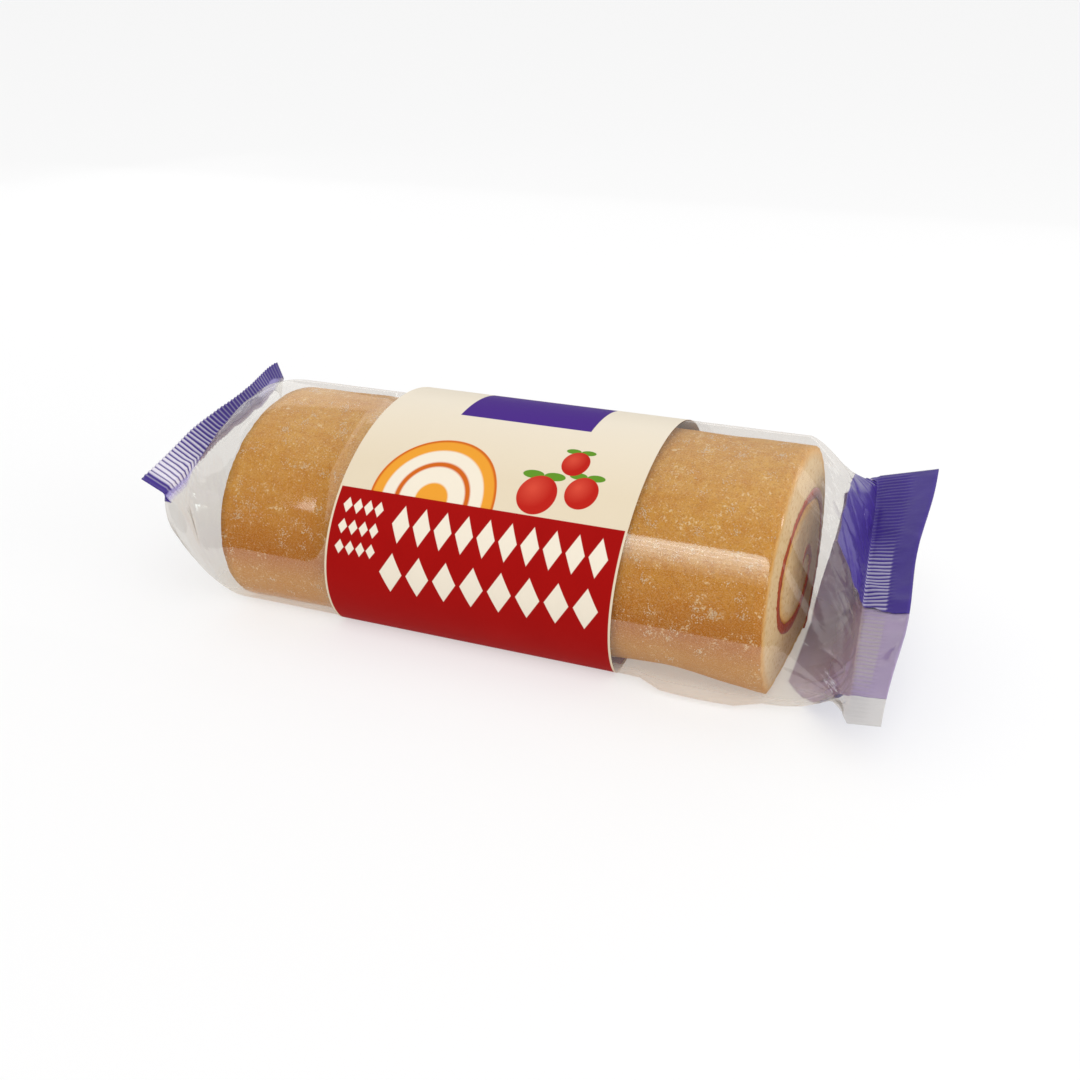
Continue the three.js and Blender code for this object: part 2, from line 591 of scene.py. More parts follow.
def end_column(end, turn):
    """The film at one turn, in rows from the roll outwards. Each row holds the point's place, how far
    along the end it is, from 0 at the roll to 2, and its distance from the seal's inner edge."""
    across, sign = layer_at(turn)
    tube = np.array(tube_point(end["side"] * ROLL_LENGTH / 2, end["radius"], turn))
    seal = seal_point(end, across, 0.0)
    seal.z += seal_lift(end, across, sign, 1.0)
    upper = 0.5 + 0.5 * math.sin(2 * math.pi * turn)
    power = 2 / mix(end["fullness"]["below"], end["fullness"]["above"], upper)
    along = np.sin(SWINGS) ** power
    drawn_in = 1 - np.abs(np.cos(SWINGS)) ** power
    curve = tube + (np.array(seal) - tube) * np.stack([along, drawn_in, drawn_in], axis=1)
    lengths = np.concatenate([[0], np.cumsum(np.linalg.norm(np.diff(curve, axis=0), axis=1))])
    rows = []
    for length in np.linspace(0, lengths[-1], TAPER_ROWS + 1)[:-1]:
        point = [np.interp(length, lengths, curve[:, axis]) for axis in range(3)]
        rows.append([*point, np.interp(length, lengths, along), length - lengths[-1]])
    for i in range(SEAL_ROWS + 1):
        out = i / SEAL_ROWS
        point = seal_point(end, across, out)
        point.z += seal_lift(end, across, sign, 1 + out)
        rows.append([*point, 1 + out, abs(point.x - seal.x)])
    return rows


# %% [markdown]
# ## Wrinkles
#
# Thin stiff film wrinkles in three ways here. Soft puckers run all round a taper, sharp creases fan
# out from its seal, and trapped air swells one side of it. Each is a height off the smooth film, in
# millimetres, over the rows and columns of the end. A cloth simulation could make them too, but it
# would pull the seals off their measured places.

# %% Creases
GIRTH = 265.0  # the film's way round the tube
# The one long crease that runs down in front of the cut face.
LONG_CREASE = {"turn": 0.136, "lean": 0.05, "length": 20.0, "half_width": 5.0, "depth": 2.2}


def turns_aside(turns, middle):
    """How far round the tube some turns are from another one, by the shorter way."""
    return (turns - middle + 0.5) % 1 - 0.5


def creases(end, turns, reach):
    """Sharp straight creases that fan out from the seal up the taper."""
    source = random.Random(end["creases"]["seed"])
    relief = np.zeros(reach.shape)
    for _ in range(end["creases"]["count"]):
        foot, lean = source.random(), source.uniform(-0.07, 0.07)
        length, width = source.uniform(12, 38), source.uniform(0.9, 2.8)
        height = source.choice((-1, 1)) * source.uniform(0.3, 1.0)
        share = np.clip(-reach / length, 0, 1)
        aside = np.abs(turns_aside(turns, foot + lean * share)) * GIRTH
        fade = np.minimum(1, share * 6) * (1 - share)
        relief += height * fade * np.clip(1 - aside / width, 0, 1)
    return relief


def long_crease(turns, reach):
    share = np.clip((reach - reach[0]) / LONG_CREASE["length"], 0, 1)
    aside = np.abs(turns - LONG_CREASE["turn"] + LONG_CREASE["lean"] * share) * GIRTH
    fade = np.minimum(1, share * 4) * (1 - share)
    return LONG_CREASE["depth"] * fade * np.clip(1 - aside / LONG_CREASE["half_width"], 0, 1)


# %% Puckers and swellings
def puckers(end, turns, share, strength):
    """Soft folds all round the taper, from a random field that is wrapped round it."""
    relief = np.zeros((len(share), len(turns)))
    for row in np.flatnonzero(strength):
        for column, turn in enumerate(turns):
            ring = 2 * math.pi * turn
            spot = (2.2 * math.cos(ring), 2.2 * math.sin(ring) + 0.8 * share[row], end["side"] * 4.0)
            fold = 0.5 - abs(uneven(*spot)) * 2
            relief[row, column] = 0.8 * fold + 0.5 * uneven(*(3 * s for s in spot))
    return relief


def swelling(end, turns, share):
    """The film that trapped air pushes out: the front of the left end and the back of the right one."""
    air = end["swelling"]
    profile = air["height"] * np.sin(np.pi * share ** air["crowding"])
    return profile[:, None] * np.exp(-(turns_aside(turns, air["turn"]) / air["spread"]) ** 2)


# %% The film of an end
BEND_ROWS = 8  # the rows of the taper that its bend into the seal takes up


def soften_bend(points):
    """Rounds the bend where the taper meets the seal, by drawing each row towards its neighbours."""
    bend = slice(TAPER_ROWS - BEND_ROWS, TAPER_ROWS + 1)
    for _ in range(10):
        softer = (points[:-2] + 2 * points[1:-1] + points[2:]) / 4
        points[bend] = softer[bend.start - 1:bend.stop - 1]


def outward_from(points, side):
    """The direction out of the film at each of its points."""
    outward = np.cross(np.gradient(points, axis=0), np.roll(points, -1, 1) - np.roll(points, 1, 1))
    return outward * (side / np.maximum(1e-9, np.linalg.norm(outward, axis=2, keepdims=True)))


def end_surface(end):
    """The film of an end as arrays over rows and columns: points, along and reach."""
    turns = np.arange(COLUMNS) / COLUMNS
    table = np.array([end_column(end, turn) for turn in turns]).transpose(1, 0, 2)
    points, along, reach = table[:, :, :3], table[:, :, 3], table[:, :, 4]
    soften_bend(points)
    outward = outward_from(points, end["side"])
    share = np.clip(np.arange(len(points)) / TAPER_ROWS, 0, 1)
    strength = np.clip(share / 0.3, 0, 1) * np.clip((1 - share) / 0.12, 0, 1)
    if end["side"] < 0:  # the trapped air smooths the left end towards its seal
        strength *= 0.6 * np.clip((1 - share) / 0.4, 0, 1)
    sharp = creases(end, turns[None, :], reach)
    if end["side"] > 0:
        sharp -= long_crease(turns[None, :], reach)
    wrinkles = puckers(end, turns, share, strength) + end["creases"]["height"] * sharp - 0.3
    relief = strength[:, None] * wrinkles + swelling(end, turns, share)
    points += outward * relief[:, :, None]
    points[:, :, 2] = np.maximum(points[:, :, 2], TABLE_GAP)
    return points, along, reach


END_SURFACES = {end["side"]: end_surface(end) for end in (LEFT_END, RIGHT_END)}
print("each end of the film has", END_SURFACES[1][0].shape[:2], "rows and columns")


# %% The rows of the film, from the left seal's edge to the right one's
BAND_EDGES = {"left": {"middle": -49.0, "lean": 7.6}, "right": {"middle": 47.7, "lean": 4.0}}
BAND_LEAN_FROM = math.radians(25)  # above this climb the edges lean right, and below it left
BAND_STEP = 1.5  # the length in which the film steps up to the band


def band_edge(side, turn):
    edge = BAND_EDGES[side]
    return edge["middle"] + edge["lean"] * math.sin(math.pi - climb_angle(turn) - BAND_LEAN_FROM)


def band_start(turn):
    return band_edge("left", turn)


def before_band(turn):
    return band_edge("left", turn) - BAND_STEP


def band_stop(turn):
    return band_edge("right", turn)


def roll_end(side):
    return lambda turn: side * ROLL_LENGTH / 2


def tube_rows(shares, radius, low, high):
    """Rows of the tube at some shares of the way between two edges."""
    def row_at(share):
        return lambda turn: tube_point(mix(low(turn), high(turn), share), radius, turn)
    return [row_at(share) for share in shares]


def rows_of_end(end):
    points = END_SURFACES[end["side"]][0]
    return [lambda turn, row=row: Vector(row[round(turn * COLUMNS)]) for row in points]


film_rows = rows_of_end(LEFT_END)[::-1]
film_rows += tube_rows([i / 6 for i in range(1, 7)], TUBE_RADIUS_LEFT, roll_end(-1), before_band)
film_rows += tube_rows([i / 10 for i in range(11)], TUBE_RADIUS, band_start, band_stop)
film_rows += tube_rows([i / 6 for i in range(1, 6)], TUBE_RADIUS, band_stop, roll_end(1))
film_rows += rows_of_end(RIGHT_END)
print("the film has", len(film_rows), "rows of", COLUMNS, "columns")

# %% [markdown]
# ## The clear film
#
# The real film is a twentieth of a millimetre thick, so it is one skin here. Glass shading would bend
# the view as a solid block does. A thin film doesn't bend it: it lets most light straight through and
# mirrors the rest, more so at a glancing view. That is a mix of a transparent and a glossy shader, with
# a little white haze for the scatter of soft plastic. Near the table the haze is much thicker: that is
# painted light, which stands in for the bright table seen through the film.

# %% Film finish
FILM_TINT = (0.87, 0.855, 0.835, 1)
HAZE_TINT = (0.97, 0.95, 0.90, 1)


def film_finish():
    finish = Finish("clear_film")
    place = finish.place()
    relief = finish.bump(finish.cloud(place, 9.0, 4.0, 0.45), 0.035)
    facing = finish.add("ShaderNodeLayerWeight", {"Blend": 0.5}, output=1)
    mirrored = 0.08 + 0.25 * facing ** 5
    through = finish.add("ShaderNodeBsdfTransparent", {"Color": FILM_TINT})
    gloss_sockets = {"Color": (1, 1, 1, 1), "Roughness": 0.07, "Normal": relief}
    clear = finish.mixed(mirrored, through, finish.add("ShaderNodeBsdfGlossy", gloss_sockets))
    lit_above = finish.add("ShaderNodeBsdfDiffuse", {"Color": HAZE_TINT})
    lit_below = finish.add("ShaderNodeBsdfTranslucent", {"Color": HAZE_TINT})
    _, _, height = finish.split(place)
    # painted light: thick haze near the table stands in for the bright table seen through the film
    table_light_haze = height.below(6.0, 7.0)
    haze_and_table_light = 0.015 + 0.1 * facing ** 4 + 0.6 * table_light_haze
    return finish.done(finish.mixed(haze_and_table_light, clear, finish.mixed(0.5, lit_above, lit_below)))


# %% Film
def shifted(point):
    """The film's points are worked out from the roll's middle, and this moves them to the frame's."""
    return point + Vector((CENTRE_SHIFT, 0, 0))


def clear_film():
    def place(column, row):
        turn = (column % COLUMNS) / COLUMNS
        return shifted(film_rows[row](turn))

    bm = sheet(COLUMNS, len(film_rows) - 1, place)
    bmesh.ops.holes_fill(bm, edges=[e for e in bm.edges if e.is_boundary], sides=0)
    bmesh.ops.recalc_face_normals(bm, faces=bm.faces)
    return finish_piece("clear_film", bm, [film_finish()])


film = clear_film()
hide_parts("film_pack")

# %% [markdown]
# ## The printed ends
#
# Both ends are printed purple, except for a clear window at the front of the right one. The ink lies
# on a white ground, so the film is purple outside and pale lilac inside, where the window lets one see
# it. Beside the ridges of the left seal the ink thins to a pale strip that light shines through.
#
# Each print is a thin sheet on the film with its own finish for the outer and the inner face. Faces
# without ink are deleted, because a ray of light pays for every face that it goes through, even a
# clear one. A mask in the finish cuts the rest to shape. It reads an attribute that says how far
# inside the print each vertex lies, which keeps the edge of the ink sharp between the vertices.


# %% Where the ink lies
def right_ink(turn, along, reach):
    """How far inside the right print a point lies, in millimetres, and less than 0 outside it. The
    last factor of each distance turns a turn, or a share of the end, into millimetres."""
    if turn < 0.5:  # the upper layer, whose purple face starts behind the window
        behind = (turn - 0.213 + 0.019 * max(0.0, along - 1)) * GIRTH
        return min(behind, (along - 0.65) * 30)
    # the lower layer, whose lilac inside shows through the window
    inner = 0.2 + 0.3 * smooth(0.66, 0.5, turn)
    stops = 0.80 + 0.152 * min(1.0, along) ** 0.8
    return min((along - inner) * 24, (stops - turn) * GIRTH)


def pale_strip(across, step):
    """The width of the strip of thin ink between the ridges and the clear film of the left end. The
    step is ramp for numbers and Wire.above for the wires of a finish, so one sum serves both."""
    middle = 8.0 * step(across, -0.4, 0.4) * (1 - step(across, 0.84, 0.25))
    return middle + 3.0 * (1 - step(across, -0.6, 0.3))


def left_ink(turn, along, reach):
    """On top the ink ends with the pale strip, and underneath with the seal."""
    across, sign = layer_at(turn)
    if sign > 0:
        inside = min(0.0, reach) + (max(1.0, along) - crimp_edge(LEFT_END, across)) * 8
        return inside + pale_strip(across, ramp)
    return reach + 3.5 * smooth(-0.6, -0.8, across)


# %% Ridges and the pale strip
THIN_INK = (0.88, 0.86, 0.97, 1)
PALE_INK = colour(178, 170, 222)
# the painted highlight on the crests of the ridges
CREST_HIGHLIGHT = colour(232, 228, 236)


def thin_ink(finish, ink):
    """Ink so thin that light shines through it. It fades out towards the clear film."""
    clear = finish.add("ShaderNodeBsdfTransparent", {"Color": (1, 1, 1, 1)})
    tinted = finish.add("ShaderNodeBsdfTransparent", {"Color": THIN_INK})
    milky = finish.add("ShaderNodeBsdfDiffuse", {"Color": PALE_INK})
    return finish.mixed(ink.above(1.5, 3.0), clear, finish.mixed(0.6, tinted, milky))


def pale_width(finish):
    """The width of the pale strip on the upper layer, and none on the lower one."""
    turn, _ = finish.film_map()
    return pale_strip(turn * 4 - 1, Wire.above) * turn.below(0.5, 0.001)


def painted_crest_highlights(finish, tone, end):
    """The crests of the ridges, painted pale as highlights. On the left seal the painted highlights get
    lighter towards the front of the pack, and on the right one they are pale on both sides of the step
    from the purple face to the lilac one. The lower layer's turns make its across run from 1 to 3."""
    turn, row = finish.film_map()
    across = turn * 4 - 1
    ridge = abs((across * (end["ridges"] / 2)).part() - 0.5) * 2
    # how strongly the crests are painted with highlights, on each seal
    if end["side"] < 0:
        crest_glint = ((0.25 - across) * 0.65).most(0.14).least(0.8) * across.within(-0.93, 0.76, 0.08)
        glint_strength = crest_glint.root()
    else:
        out = (row * (TAPER_ROWS + SEAL_ROWS) - TAPER_ROWS) / SEAL_ROWS
        upper, lower = across.within(-0.3, 0.3, 0.25), across.within(2.2, 2.75, 0.2)
        crest_glint = out.within(0.02, MARGIN_FROM - 1, 0.06) * (0.08 + 0.36 * upper + 0.6 * lower)
        glint_strength = crest_glint
    return finish.blend((ridge + crest_glint - 1.0).above(0.0, 0.5) * glint_strength, tone, CREST_HIGHLIGHT)


# %% Print finishes
OUTER_INK = {"tint": colour(60, 42, 126), "cover": 0.97, "roughness": 0.32}
INNER_INK = {"tint": colour(207, 187, 255), "cover": 0.86, "roughness": 0.4}


def ink_finish(name, end, tint, cover, roughness):
    """Translucent ink, of a given cover, that ends where the ink attribute falls below 0."""
    finish = Finish(name)
    place = finish.place()
    tone = finish.blend(finish.cloud(place, 7.0), toned(tint, 0.85), toned(tint, 1.15))
    ink = finish.attribute("ink")
    # the ink's tone, with painted highlights on the crests of the ridges
    printed = finish.surface({
        "Base Color": painted_crest_highlights(finish, tone, end),
        "Roughness": roughness,
        "Specular IOR Level": 0.2,
        "Coat Weight": 0.3,
        "Coat Roughness": 0.12,
        "Alpha": ink.above(0.0, 0.25) * cover,
        "Normal": finish.bump(finish.cloud(place, 6.0, 4.0, 0.5), 0.25),
    })
    if end["side"] < 0:
        printed = finish.mixed(ink.below(pale_width(finish), 0.8), printed, thin_ink(finish, ink))
    return finish.done(printed)


# %% Printed ends
INK_LIFT = 0.12  # from the film to the print
INK_THICKNESS = 0.08
BARE = -0.5  # a face whose corners all have less ink than this is left out


def ink_sheet(end, ink_at, first, columns):
    """Some columns of an end's film, with the ink as an attribute and the turns in the UV map."""
    points, along, reach = END_SURFACES[end["side"]]
    rows = len(points) - 1

    def place(column, row):
        return shifted(Vector(points[row, (first + column) % COLUMNS]))

    bm = sheet(columns, rows, place, closed=False)
    uv = bm.loops.layers.uv.verify()
    ink = bm.verts.layers.float.new("ink")
    for face in bm.faces:
        for loop in face.loops:
            column, row = (round(s * n) for s, n in zip(loop[uv].uv, (columns, rows)))
            turn = (first + column) / COLUMNS
            at = (row, (first + column) % COLUMNS)
            loop[uv].uv = (turn, row / rows)
            loop.vert[ink] = ink_at(turn % 1, along[at], reach[at])
    bare = [face for face in bm.faces if all(vert[ink] < BARE for vert in face.verts)]
    bmesh.ops.delete(bm, geom=bare, context="FACES")
    return bm


def printed_end(name, end, ink_at, first_turn, last_turn):
    first = round(first_turn * COLUMNS)
    columns = round(last_turn * COLUMNS) - first
    bm = ink_sheet(end, ink_at, first, columns)
    if end["side"] > 0:
        bmesh.ops.reverse_faces(bm, faces=bm.faces)
    bm.normal_update()
    for vert in bm.verts:
        vert.co += vert.normal * INK_LIFT
    if columns == COLUMNS:
        bmesh.ops.remove_doubles(bm, verts=bm.verts, dist=WELD)
    outside = ink_finish(name + "_ink", end, **OUTER_INK)
    inside = ink_finish(name + "_ground", end, **INNER_INK)
    piece = finish_piece(name, bm, [outside, inside])
    solid = piece.modifiers.new("film thickness", "SOLIDIFY")
    solid.thickness = INK_THICKNESS * MM
    solid.offset = -1
    solid.material_offset = 1
    solid.material_offset_rim = 0
    return piece


printed_end("right_print", RIGHT_END, right_ink, 0.2, 0.97)
printed_end("left_print", LEFT_END, left_ink, 0.0, 1.0)

# %% [markdown]
# ## The printed band
#
# The band is opaque: cream above and red below, a plain purple panel on top, a golden sunrise with a
# few round fruits on the cream, and rows of cream lozenges on the red. Flat print is colour and not
# shape, so it is worked out in the finish from the band's own UV map, in millimetres of film.

# %% Band layout, in millimetres along and up the film
BAND_WIDTH = 96.0
BAND_BORDER = 0.7  # of cream beside the red field
CREAM_FROM = 23.3  # up the film from the height of the tube's axis, above the red field
PANEL = {"left": -21.6, "right": 23.9, "bottom": 56.3, "top": 80.0}
SUN = {"s": -16.0, "radius": 21.0}
FRUITS = ((17.0, 30.0, 6.3), (30.5, 32.5, 5.2), (25.0, 42.0, 4.4))  # places along and up, and radii
SMALL_ROW = {"left": -45.0, "count": 4, "pitch": 3.7, "height": 5.0, "width": 3.2}
LOZENGE_ROWS = (
    {"left": -27.0, "count": 10, "pitch": 7.2, "middle": 14.0, "height": 12.2, "width": 6.0},
    {"left": -29.0, "count": 8, "pitch": 9.2, "middle": -2.8, "height": 14.4, "width": 7.8},
    *({**SMALL_ROW, "middle": middle} for middle in (17.6, 10.6, 3.6)),
)
INK_EDGE = 0.18  # the softness of every printed edge

CREAM = colour(226, 216, 198)
# painted shade: the cream of the lower band, darker and warmer
SHADED_CREAM = colour(214, 200, 175)
RED = colour(158, 16, 14)
DARK_RED = colour(148, 12, 11)
PANEL_PURPLE = colour(72, 42, 128)
GOLD = colour(222, 150, 50)
AMBER = colour(196, 96, 30)
FRUIT_RED = colour(176, 34, 26)
FRUIT_GLOW = colour(222, 92, 70)
LEAF = colour(92, 138, 42)
print("the band carries", len(FRUITS), "fruits and", sum(row["count"] for row in LOZENGE_ROWS), "lozenges")


# %% The shapes of the print
def distance(s, t, centre_s, centre_t):
    return ((s - centre_s) ** 2 + (t - centre_t) ** 2).root()


def lozenges(s, t, row):
    """1 inside the lozenges of a row and 0 beside them."""
    column = (s - row["left"]) / row["pitch"]
    inside_row = column.within(0.0, row["count"], INK_EDGE / row["pitch"])
    aside = abs(column.part() - 0.5) * (2 * row["pitch"] / row["width"])
    up = abs(t - row["middle"]) * (2 / row["height"])
    return inside_row * (aside + up).below(1.0, 2.5 * INK_EDGE / row["width"])


def sunrise(finish, s, t, paper):
    """A half disc of arcs that rises from the edge of the red field."""
    away = distance(s, t, SUN["s"], CREAM_FROM)
    share = away / SUN["radius"]
    arcs = finish.blend(share.within(0.80, 1.0, 0.03), CREAM, GOLD)
    arcs = finish.blend(share.within(0.96, 1.0, 0.03), arcs, AMBER)
    arcs = finish.blend(share.within(0.52, 0.60, 0.03), arcs, AMBER)
    arcs = finish.blend(share.below(0.26, 0.03), arcs, GOLD)
    return finish.blend(share.below(1.0, 0.01), paper, arcs)


def fruit(finish, s, t, centre_s, centre_t, size, paper):
    """A plain round fruit with a glow on its upper left and two leaves above it."""
    glow = distance(s, t, centre_s - size * 0.3, centre_t + size * 0.3) / size
    skin = finish.blend(glow.below(0.55, 0.9) * 0.5, FRUIT_RED, FRUIT_GLOW)
    for aside in (-0.55, 0.55):
        leaf_s = centre_s + aside * size
        leaf_t = centre_t + size * 1.02
        flat = ((s - leaf_s) ** 2 * (1 / 0.55 ** 2) + (t - leaf_t) ** 2 * (1 / 0.22 ** 2)).root()
        paper = finish.blend((flat / size).below(1.0, 0.06), paper, LEAF)
    return finish.blend(distance(s, t, centre_s, centre_t).below(size, INK_EDGE), paper, skin)


# %% Band finish
def cream_field(finish, s, t):
    """The cream paper with the sunrise, the fruits and the panel."""
    # painted shade: the cream gets darker and warmer lower down the band
    paper = finish.blend(t.below(48.0, 30.0), CREAM, SHADED_CREAM)
    paper = sunrise(finish, s, t, paper)
    for centre_s, centre_t, size in FRUITS:
        paper = fruit(finish, s, t, centre_s, centre_t, size, paper)
    aside = s.within(PANEL["left"], PANEL["right"], INK_EDGE)
    up = t.within(PANEL["bottom"], PANEL["top"], INK_EDGE)
    return finish.blend(aside * up, paper, PANEL_PURPLE)


def red_field(finish, s, t, place):
    red = finish.blend(finish.cloud(place, 14.0), DARK_RED, RED)
    for row in LOZENGE_ROWS:
        red = finish.blend(lozenges(s, t, row), red, CREAM)
    return red


def band_finish():
    finish = Finish("band_print")
    s, t = finish.film_map()
    place = finish.place()
    aside = abs(s).below(BAND_WIDTH / 2 - BAND_BORDER, INK_EDGE)
    on_red = t.below(CREAM_FROM, INK_EDGE) * aside
    tint = finish.blend(on_red, cream_field(finish, s, t), red_field(finish, s, t, place))
    relief = finish.bump(finish.cloud(place, 16.0, 3.0, 0.4), 0.25)
    sockets = {"Base Color": tint, "Roughness": 0.5, "Specular IOR Level": 0.02, "Normal": relief}
    return finish.done(finish.surface(sockets))


# %% Band
BAND_GRID = {"columns": 140, "rows": 24}
BAND_PROUD = 0.15  # how far the band stands off the clear film
SEAM_TURN = 0.8  # the turn underneath where the print starts and ends


def printed_band():
    columns, rows = BAND_GRID["columns"], BAND_GRID["rows"]

    def place(column, row):
        turn = (column % columns) / columns
        x = mix(band_edge("left", turn), band_edge("right", turn), row / rows)
        point = tube_point(x, TUBE_RADIUS, turn)
        middle = Vector((x, 0, TUBE_RADIUS - RESTING_SAG))
        return shifted(point + (point - middle).normalized() * BAND_PROUD)

    bm = sheet(columns, rows, place)
    uv = bm.loops.layers.uv.verify()
    for face in bm.faces:
        for loop in face.loops:
            turn, row_share = loop[uv].uv
            climb = math.pi - climb_angle(turn)
            if turn > SEAM_TURN:
                climb -= 2 * math.pi
            loop[uv].uv = ((row_share - 0.5) * BAND_WIDTH, climb * TUBE_RADIUS)
    bmesh.ops.recalc_face_normals(bm, faces=bm.faces)
    for vert in bm.verts:
        vert.co.z = max(vert.co.z, TABLE_GAP)
    return finish_piece("printed_band", bm, [band_finish()])


printed_band()

# %% [markdown]
# ## The sponge
#
# A swiss roll is one flat sheet of sponge, spread with jam and rolled up. It is built the same way: a
# grid that follows the spiral of the sheet from its tucked-in outer end to the middle, with the brown
# skin on its outer side. Extruding that section along the roll gives the whole sheet, so both cut ends
# show the same spiral. The depth under the skin is kept as an attribute, and the finish turns it into
# skin or crumb.

# %% Sizes of the roll
SECTION_RADIUS = 40.0  # that the section is drawn with
ROLL_RADIUS = {"left": 39.0, "right": 40.0}
ROLL_SAG = 9.0  # how far the roll has sunk flat underneath
ROLL_LIFT = 0.5  # the film and air under the roll
SPIRAL_START = -60.0  # degrees, where the sheet's outer end is tucked under
SPIRAL_TIGHTENS = 150.0  # degrees, from where the jam's spiral draws in
JAM_STOP = 450.0  # degrees, where the jam ends in the middle
SHEET_STOP = JAM_STOP + 360.0  # the innermost turn of sponge has no jam inside it
JAM_HALF_THICKNESS = 1.5
JAM_BITE = 0.85  # the sponge starts at this share of the jam's half, so that no gap shows
SPIRAL_MIDDLE = (3.0, 1.0)
SPIRAL_HALF_WIDTH = 30.0
SPIRAL_HALF_HEIGHT = 22.5
print("the roll is", 2 * ROLL_RADIUS["right"], "mm wide and", ROLL_LENGTH, "mm long")


# %% The spiral
def roll_outline(degrees):
    """The section's outline, from the roll's axis: a circle, a little wider, that has sunk flat."""
    angle = math.radians(degrees)
    y = (SECTION_RADIUS + 0.4 - 0.8 * math.cos(angle)) * math.cos(angle)
    z = no_lower(SECTION_RADIUS * math.sin(angle), ROLL_SAG - SECTION_RADIUS, 0.7)
    return Vector((y, z))


def jam_line(degrees):
    """The spiral that the jam follows, from the sheet's outer end to its middle."""
    if degrees >= JAM_STOP:
        return Vector(SPIRAL_MIDDLE)
    angle = math.radians(degrees)
    shrink = 1 - max(0.0, (degrees - SPIRAL_TIGHTENS) / (JAM_STOP - SPIRAL_TIGHTENS)) ** 1.4
    y = SPIRAL_MIDDLE[0] + SPIRAL_HALF_WIDTH * shrink * math.cos(angle)
    z = SPIRAL_MIDDLE[1] + SPIRAL_HALF_HEIGHT * shrink * math.sin(angle)
    tucked = 1 - smooth(SPIRAL_START, 12.0, degrees)
    wobble = 0.7 * uneven(degrees * 0.021, 3.3)
    return Vector((y, z + wobble)).lerp(roll_outline(degrees), tucked)


def beside_jam(degrees, side):
    """A point on one face of the jam: the outer one with side 1 and the inner one with side -1."""
    if degrees >= JAM_STOP:
        return Vector(SPIRAL_MIDDLE)
    ahead = jam_line(min(JAM_STOP - 0.01, degrees + 1)) - jam_line(degrees - 1)
    outward = Vector((ahead.y, -ahead.x)).normalized()
    starts = smooth(SPIRAL_START, SPIRAL_START + 30, degrees)
    stops = smooth(JAM_STOP - 45, JAM_STOP, degrees)
    spread = 1 + 0.45 * uneven(degrees * 0.035, 9.1)
    thickness = JAM_HALF_THICKNESS * (starts * (1 - stops)) * spread
    return jam_line(degrees) + outward * side * thickness


def sheet_point(degrees, share):
    """A point of the sponge sheet's section, from its jam side at 0 to its skin at 1, and its depth."""
    inner = beside_jam(degrees, JAM_BITE)
    if degrees <= SPIRAL_START + 360:
        outer = roll_outline(degrees)
    else:
        outer = beside_jam(degrees - 360, -JAM_BITE)
    return inner.lerp(outer, share), (outer - inner).length * (1 - share)


# %% Placing a section in the roll
# How far each cut end is shifted along the roll, and how much it leans towards its back and its top.
CUTS = {-1: {"shift": -1.2, "back": 0.086, "up": 0.069}, 1: {"shift": 1.6, "back": 0.04, "up": 0.0}}
CUT_DOME = 1.2  # how far the middle of a cut end stands out
# The dent in the skin near the right cut end: its place, reach and depth, and the side it lies on.
DENT = {"x": -33.0 + ROLL_LENGTH / 2, "reach": 26.0, "depth": 4.2, "towards": Vector((-0.44, -0.9))}
LOWEST = 0.3  # keeps the roll clear of the film under it


def pressed(x, point, out):
    """The point with the skin's dent and unevenness, which fade towards the roll's axis."""
    direction = point.normalized()
    along_dent = (x - DENT["x"]) / DENT["reach"]
    facing = max(0.0, direction.dot(DENT["towards"]))
    dent = DENT["depth"] * math.exp(-along_dent * along_dent) * facing ** 6 * out * out
    waves = 0.5 * uneven(x * 0.035, direction.x * 1.7, direction.y * 1.7)
    waves += 0.22 * uneven(x * 0.11, direction.x * 4.5, direction.y * 4.5)
    return point - DENT["towards"] * dent + direction * waves * out * out


def in_roll(x, section):
    """Puts a point of the section at a place along the roll, which tapers to the left. The cut ends
    lean, and are a little domed."""
    share = x / ROLL_LENGTH + 0.5
    radius = mix(ROLL_RADIUS["left"], ROLL_RADIUS["right"], smooth(0.2, 0.75, share))
    point = section * (radius / SECTION_RADIUS)
    out = point.length / radius
    if out > 0.2:
        point = pressed(x, point, out)
    axis = radius - ROLL_SAG + ROLL_LIFT
    side = 1 if share > 0.5 else -1
    near_cut = abs(2 * share - 1)
    cut = CUTS[side]
    dome = side * CUT_DOME * max(0.0, 1 - out * out) * smooth(0.93, 1.0, near_cut)
    lean = (cut["shift"] + cut["back"] * point.x + cut["up"] * point.y) * smooth(0.3, 1.0, near_cut)
    return Vector((x + dome + lean + CENTRE_SHIFT, point.x, max(LOWEST, point.y + axis)))


# %% Sponge
TURN_STEP = 2.0  # degrees of the spiral to a column
SPONGE_ROWS = 54
# The sheet's layers, from the jam to the skin, as shares. They are closest where the skin browns.
SPONGE_LAYERS = (0.0, 0.08, 0.18, 0.29, 0.4, 0.51, 0.62, 0.72, 0.81, 0.88, 0.93, 0.965, 0.985, 1.0)


